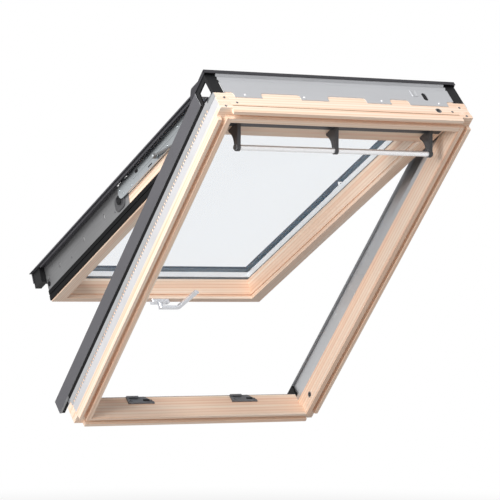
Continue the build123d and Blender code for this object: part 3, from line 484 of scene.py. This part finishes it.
# (v, n, radius) of the rivets on an arm
ARM_RIVETS = ((582.0, 92.0, 4.2), (633.0, 91.0, 3.4), (566.0, 108.0, 3.4),
              (860.0, 92.0, 3.4), (930.0, 112.0, 3.8))
ARM_RIVET_HEIGHT = 1.6
ARM_PORT = (677.0, 112.0)
ARM_SLOT = (753.0, 90.0)
STRUT_CAP = (794.0, 96.0)
PLATE_RIVETS = ((86.0, 112.0), (210.0, 78.0), (372.0, 112.0), (505.0, 74.0))
PIVOT_SHOE = (545.0, 90.0)
SHOE_COLLAR = (543.0, 84.0)
PLATE_RING = (48.0, 72.0)
PIVOT_GUARD = (586.0, 119.0)
COVER_JOINT = (581.0, 122.4)
BAR_AXIS = (1102.0, -39.0)
SHEET_RIVETS = (-297.0, -119.0, 121.0, 304.0)
SHEET_RIVET_N = 53.0
SHEET_TAB = (240.0, 90.0)
SHEET_SLOT = (270.0, 78.0)
HEAD_SEAM_N = 9.5
HANDLE_SCREWS = (-22.0, 22.0)
HANDLE_V = 48.0
HANDLE_BASE_N = 10.0
HANDLE_HUB_N = -7.0

# Profiles and outlines of the fittings: (radius, height) for the screws and rivets
STRIKER_SCREW = screw_profile(4.4, 1.9)
HEAD_SCREW = screw_profile(3.4, 1.2)
HANDLE_SCREW = screw_profile(3.6, 1.4)
STRUT_CAP_HEAD = rivet_profile(5.2, 2.2)
PLATE_RIVET = rivet_profile(3.2, 1.2)
SHEET_RIVET = rivet_profile(3.2, 1.1)
HUB_HEAD = rivet_profile(6.4, 1.8)
SHOE_PROFILE = turned((13.5, 0), (13.5, 1.8), (12.2, 3.0), (8.4, 3.2), (7.0, 1.6), (2.0, 1.4))
RING_PROFILE = turned((7.6, 0), (7.6, 1.0), (6.8, 1.6), (4.6, 1.6), (4.0, 0.6), (1.0, 0.5))
BAR_CAP_PROFILE = turned((7.5, 0), (7.5, 1.6), (6.9, 2.8), (5.4, 3.3), (2.0, 3.4))
# Length, width, rounding and (inset, height) stations of the pads
RECESS_PAD = (24.0, 7.0, 3.4, ((0, 0), (0, 0.35), (0.7, 0.6), (1.6, 0.3)))
PORT_PAD = (16.0, 9.0, 4.4, ((0, 0), (0, 0.5), (0.9, 0.9), (2.0, 0.2)))
SLOT_PAD = (24.0, 3.6, 1.7, ((0, 0), (0, 0.3), (0.4, 0.5), (1.0, 0.15)))
COLLAR_PAD = (60.0, 44.0, 18.0, ((0, 0), (0, 1.4), (1.4, 2.6), (6.0, 2.8), (9.0, 2.0)))
GUARD_PAD = (52.0, 22.0, 5.0, ((0, 0), (0, 1.0), (0.5, 1.4), (2.0, 1.5)))
JOINT_PAD = (84.0, 18.4, 2.0, ((0, 0), (0, 1.4), (0.6, 2.0), (1.6, 2.1)))
TAB_PAD = (20.0, 26.0, 4.0, ((0, 0), (0, 0.6), (0.8, 1.4), (3.0, 1.4), (3.8, 0.7)))
BACKING_PAD = (22.0, 38.0, 5.0, ((0, 0), (0, 0.9), (1.0, 1.6), (4.0, 1.2)))
SEAM_PAD = (700.0, 1.8, 0.8, ((0, 0), (0, 0.12), (0.2, 0.22), (0.5, 0.1)))

for name, hand in HANDS:
    for end, shift in STRIKER_SCREWS:
        screw = lathe(f"{name}_striker_screw_{end}", STRIKER_SCREW, dark_steel)
        place = roof.point(hand * STRIKER_U + shift, STRIKER_FACE, STRIKER_SCREW_N)
        seat(screw, place, roof.up, ACROSS, "frame")
    # Black pad standing for the striker's recess. Its black is the painted shade inside the recess.
    recess = pad(f"{name}_striker_recess_painted_shade", *RECESS_PAD, black_plastic, "black_plastic")
    place = roof.point(hand * STRIKER_U + RECESS_SHIFT, STRIKER_FACE, RECESS_N)
    seat(recess, place, roof.up, ACROSS, "frame")

    for number, (u, n) in enumerate(HEAD_SCREWS):
        screw = lathe(f"{name}_head_screw_{number}", HEAD_SCREW, dark_steel)
        seat(screw, roof.point(hand * u, FRAME_HEIGHT, n), roof.up, ACROSS, "frame")

    outside = ACROSS * hand
    for number, (v, n, radius) in enumerate(ARM_RIVETS):
        rivet = lathe(f"{name}_arm_rivet_{number}", rivet_profile(radius, ARM_RIVET_HEIGHT), zinc)
        seat(rivet, leaf.point(hand * ARM_FACE, v, n), outside, leaf.up, "arms")
    port = pad(f"{name}_arm_port", *PORT_PAD, black_plastic, "black_plastic")
    seat(port, leaf.point(hand * ARM_FACE, *ARM_PORT), outside, leaf.up, "arms")
    # Black pad standing for the slot in the arm. Its black is the painted shade seen through the slot.
    mark = pad(f"{name}_arm_slot_painted_shade", *SLOT_PAD, black_plastic, "black_plastic")
    seat(mark, leaf.point(hand * ARM_FACE, *ARM_SLOT), outside, leaf.up, "arms")
    strut_cap = lathe(f"{name}_strut_cap", STRUT_CAP_HEAD, zinc)
    seat(strut_cap, leaf.point(hand * STRUT_CAP_FACE, *STRUT_CAP), outside, leaf.up, "strut_rods")

    for number, place in enumerate(PLATE_RIVETS):
        rivet = lathe(f"{name}_plate_rivet_{number}", PLATE_RIVET, dark_steel)
        seat(rivet, leaf.point(hand * PLATE_FACE, *place), outside, leaf.up, "sash")
    shoe = lathe(f"{name}_pivot_shoe", SHOE_PROFILE, black_plastic)
    seat(shoe, leaf.point(hand * SHOE_FACE, *PIVOT_SHOE), outside, leaf.up, "sash")
    collar = pad(f"{name}_shoe_collar", *COLLAR_PAD, grey_plastic, "grey_plastic")
    seat(collar, leaf.point(hand * PLATE_FACE, *SHOE_COLLAR), outside, leaf.up, "sash")
    ring = lathe(f"{name}_plate_ring", RING_PROFILE, black_plastic)
    seat(ring, leaf.point(hand * PLATE_FACE, *PLATE_RING), outside, leaf.up, "sash")

    guard = pad(f"{name}_pivot_guard", *GUARD_PAD, black_plastic, "black_plastic")
    seat(guard, leaf.point(hand * GUARD_FACE, *PIVOT_GUARD), -outside, leaf.up, "arms")
    joint = pad(f"{name}_cover_joint", *JOINT_PAD, grey_lacquer, "grey_cladding")
    seat(joint, leaf.point(hand * JOINT_FACE, *COVER_JOINT), -outside, leaf.up, "sash")
    cap = lathe(f"{name}_bar_cap", BAR_CAP_PROFILE, grey_plastic)
    seat(cap, leaf.point(hand * BAR_END, *BAR_AXIS), outside, leaf.up, "bar")

for number, u in enumerate(SHEET_RIVETS):
    rivet = lathe(f"sheet_rivet_{number}", SHEET_RIVET, bar_metal)
    seat(rivet, roof.point(u, SHEET_FACE, SHEET_RIVET_N), roof.up, ACROSS, "frame")
tab = pad("sheet_tab", *TAB_PAD, silver_across, "silver_aluminium")
seat(tab, roof.point(SHEET_TAB[0], SHEET_FACE, SHEET_TAB[1]), roof.up, ACROSS, "frame")
backing = pad("sheet_slot_backing", *BACKING_PAD, black_plastic, "black_plastic")
seat(backing, roof.point(SHEET_SLOT[0], FRAME_HEIGHT, SHEET_SLOT[1]), -roof.up, ACROSS, "frame")
# A thin brown strip along the head's face for the seam line. Its colour is the joint and the painted shade
# in it.
seam = pad("head_seam", *SEAM_PAD, seam_shade_wood, "pine")
seat(seam, roof.point(0.0, FRAME_HEIGHT, HEAD_SEAM_N), roof.up, ACROSS, "frame")

for number, u in enumerate(HANDLE_SCREWS):
    screw = lathe(f"handle_screw_{number}", HANDLE_SCREW, handle_metal)
    seat(screw, leaf.point(u, HANDLE_V, HANDLE_BASE_N), -leaf.out, ACROSS, "sash")
hub = lathe("handle_hub_cap", HUB_HEAD, handle_metal)
seat(hub, leaf.point(0.0, HANDLE_V, HANDLE_HUB_N), -leaf.out, ACROSS, "handle")


# Camera, as fitted to the photograph
PHOTO_SIZE = 500.0
FOCAL_PIXELS = 2700.0
SENSOR = 36.0
CAMERA_PLACE = (-3.76897, -6.78657, 0.33007)
CAMERA_AZIMUTH = math.radians(30.144)
CAMERA_ELEVATION = math.radians(1.223)
camera_data = bpy.data.cameras.new("camera")
camera_data.sensor_width = SENSOR
camera_data.lens = SENSOR * FOCAL_PIXELS / PHOTO_SIZE
camera = bpy.data.objects.new("camera", camera_data)
camera.location = CAMERA_PLACE
level_reach = math.cos(CAMERA_ELEVATION)
forward = Vector((math.sin(CAMERA_AZIMUTH) * level_reach, math.cos(CAMERA_AZIMUTH) * level_reach,
                  math.sin(CAMERA_ELEVATION)))
camera.rotation_euler = forward.to_track_quat("-Z", "Y").to_euler()
scene.collection.objects.link(camera)
scene.camera = camera

# Light, floor and background
FILL_STRENGTH = 0.3
MIDDLE = (0.0, -0.2, 0.4)
LAMP_SIZE = 2.4
KEY_PLACE, KEY_POWER = (-4.4, -3.4, 4.9), 380.0
SIDE_PLACE, SIDE_POWER = (-6.4, -4.0, 1.6), 290.0
scene.view_settings.view_transform = "Standard"
world = bpy.data.worlds.new("studio")
scene.world = world
world.use_nodes = True
sky = world.node_tree
fill = sky.nodes["Background"]
fill.inputs["Color"].default_value = (0.97, 0.98, 1.0, 1.0)
fill.inputs["Strength"].default_value = FILL_STRENGTH
backdrop = sky.nodes.new("ShaderNodeBackground")
backdrop.inputs["Color"].default_value = (1, 1, 1, 1)
backdrop.inputs["Strength"].default_value = 1.0


def seen_directly(tree):
    """1 for rays from the camera, mirror reflections and what is seen through glass."""
    path = tree.nodes.new("ShaderNodeLightPath")
    total = None
    for ray in ("Is Camera Ray", "Is Glossy Ray", "Is Transmission Ray"):
        if total is None:
            total = path.outputs[ray]
            continue
        join = tree.nodes.new("ShaderNodeMath")
        join.operation = "MAXIMUM"
        tree.links.new(total, join.inputs[0])
        tree.links.new(path.outputs[ray], join.inputs[1])
        total = join.outputs[0]
    return total


choose = sky.nodes.new("ShaderNodeMixShader")
sky.links.new(seen_directly(sky), choose.inputs["Fac"])
sky.links.new(fill.outputs["Background"], choose.inputs[1])
sky.links.new(backdrop.outputs["Background"], choose.inputs[2])
sky.links.new(choose.outputs["Shader"], sky.nodes["World Output"].inputs["Surface"])


def lamp(name, place, aim, size, energy):
    """Soft square lamp aimed at a point."""
    data = bpy.data.lights.new(name, "AREA")
    data.size = size
    data.energy = energy
    thing = bpy.data.objects.new(name, data)
    thing.location = place
    thing.rotation_euler = (Vector(aim) - Vector(place)).to_track_quat("-Z", "Y").to_euler()
    scene.collection.objects.link(thing)


lamp("key", KEY_PLACE, MIDDLE, LAMP_SIZE, KEY_POWER)
lamp("side", SIDE_PLACE, MIDDLE, LAMP_SIZE, SIDE_POWER)

# One-sided pale floor that keeps the shadow near the object and fades into the white backdrop
FLOOR_LEVEL = -0.32
FLOOR_HALF = 14.0
FLOOR_NEAR, FLOOR_FAR = 1.0, 2.2
GLOW_NEAR, GLOW_FAR = 0.8, 1.0
FLOOR_TONE = 0.42
FLOOR_ROUGHNESS = 0.9
floor_mesh = bpy.data.meshes.new("floor")
corners = [(x * FLOOR_HALF, y * FLOOR_HALF, FLOOR_LEVEL) for x, y in ((-1, -1), (1, -1), (1, 1), (-1, 1))]
floor_mesh.from_pydata(corners, [], [(0, 1, 2, 3)])
floor = bpy.data.objects.new("floor", floor_mesh)
scene.collection.objects.link(floor)
pale, pale_tree, pale_shader, pale_place = material("pale_floor")
pale_shader.inputs["Base Color"].default_value = grey(FLOOR_TONE)
pale_shader.inputs["Roughness"].default_value = FLOOR_ROUGHNESS
glow = pale_tree.nodes.new("ShaderNodeEmission")
glow.inputs["Color"].default_value = (1, 1, 1, 1)
glow.inputs["Strength"].default_value = 1.0
reach = pale_tree.nodes.new("ShaderNodeVectorMath")
reach.operation = "LENGTH"
pale_tree.links.new(pale_place, reach.inputs[0])
fade = pale_tree.nodes.new("ShaderNodeMapRange")
fade.interpolation_type = "SMOOTHSTEP"
fade.inputs["From Min"].default_value = FLOOR_NEAR
fade.inputs["From Max"].default_value = FLOOR_FAR
fade.inputs["To Min"].default_value = GLOW_NEAR
fade.inputs["To Max"].default_value = GLOW_FAR
pale_tree.links.new(reach.outputs["Value"], fade.inputs["Value"])
share = pale_tree.nodes.new("ShaderNodeMath")
share.operation = "MULTIPLY"
pale_tree.links.new(seen_directly(pale_tree), share.inputs[0])
pale_tree.links.new(fade.outputs["Result"], share.inputs[1])
floor_mix = pale_tree.nodes.new("ShaderNodeMixShader")
pale_tree.links.new(share.outputs[0], floor_mix.inputs["Fac"])
pale_tree.links.new(pale_shader.outputs["BSDF"], floor_mix.inputs[1])
pale_tree.links.new(glow.outputs["Emission"], floor_mix.inputs[2])
under = pale_tree.nodes.new("ShaderNodeNewGeometry")
clear = pale_tree.nodes.new("ShaderNodeBsdfTransparent")
one_sided = pale_tree.nodes.new("ShaderNodeMixShader")
pale_tree.links.new(under.outputs["Backfacing"], one_sided.inputs["Fac"])
pale_tree.links.new(floor_mix.outputs["Shader"], one_sided.inputs[1])
pale_tree.links.new(clear.outputs["BSDF"], one_sided.inputs[2])
pale_tree.links.new(one_sided.outputs["Shader"], pale_tree.nodes["Material Output"].inputs["Surface"])
floor_mesh.materials.append(pale)
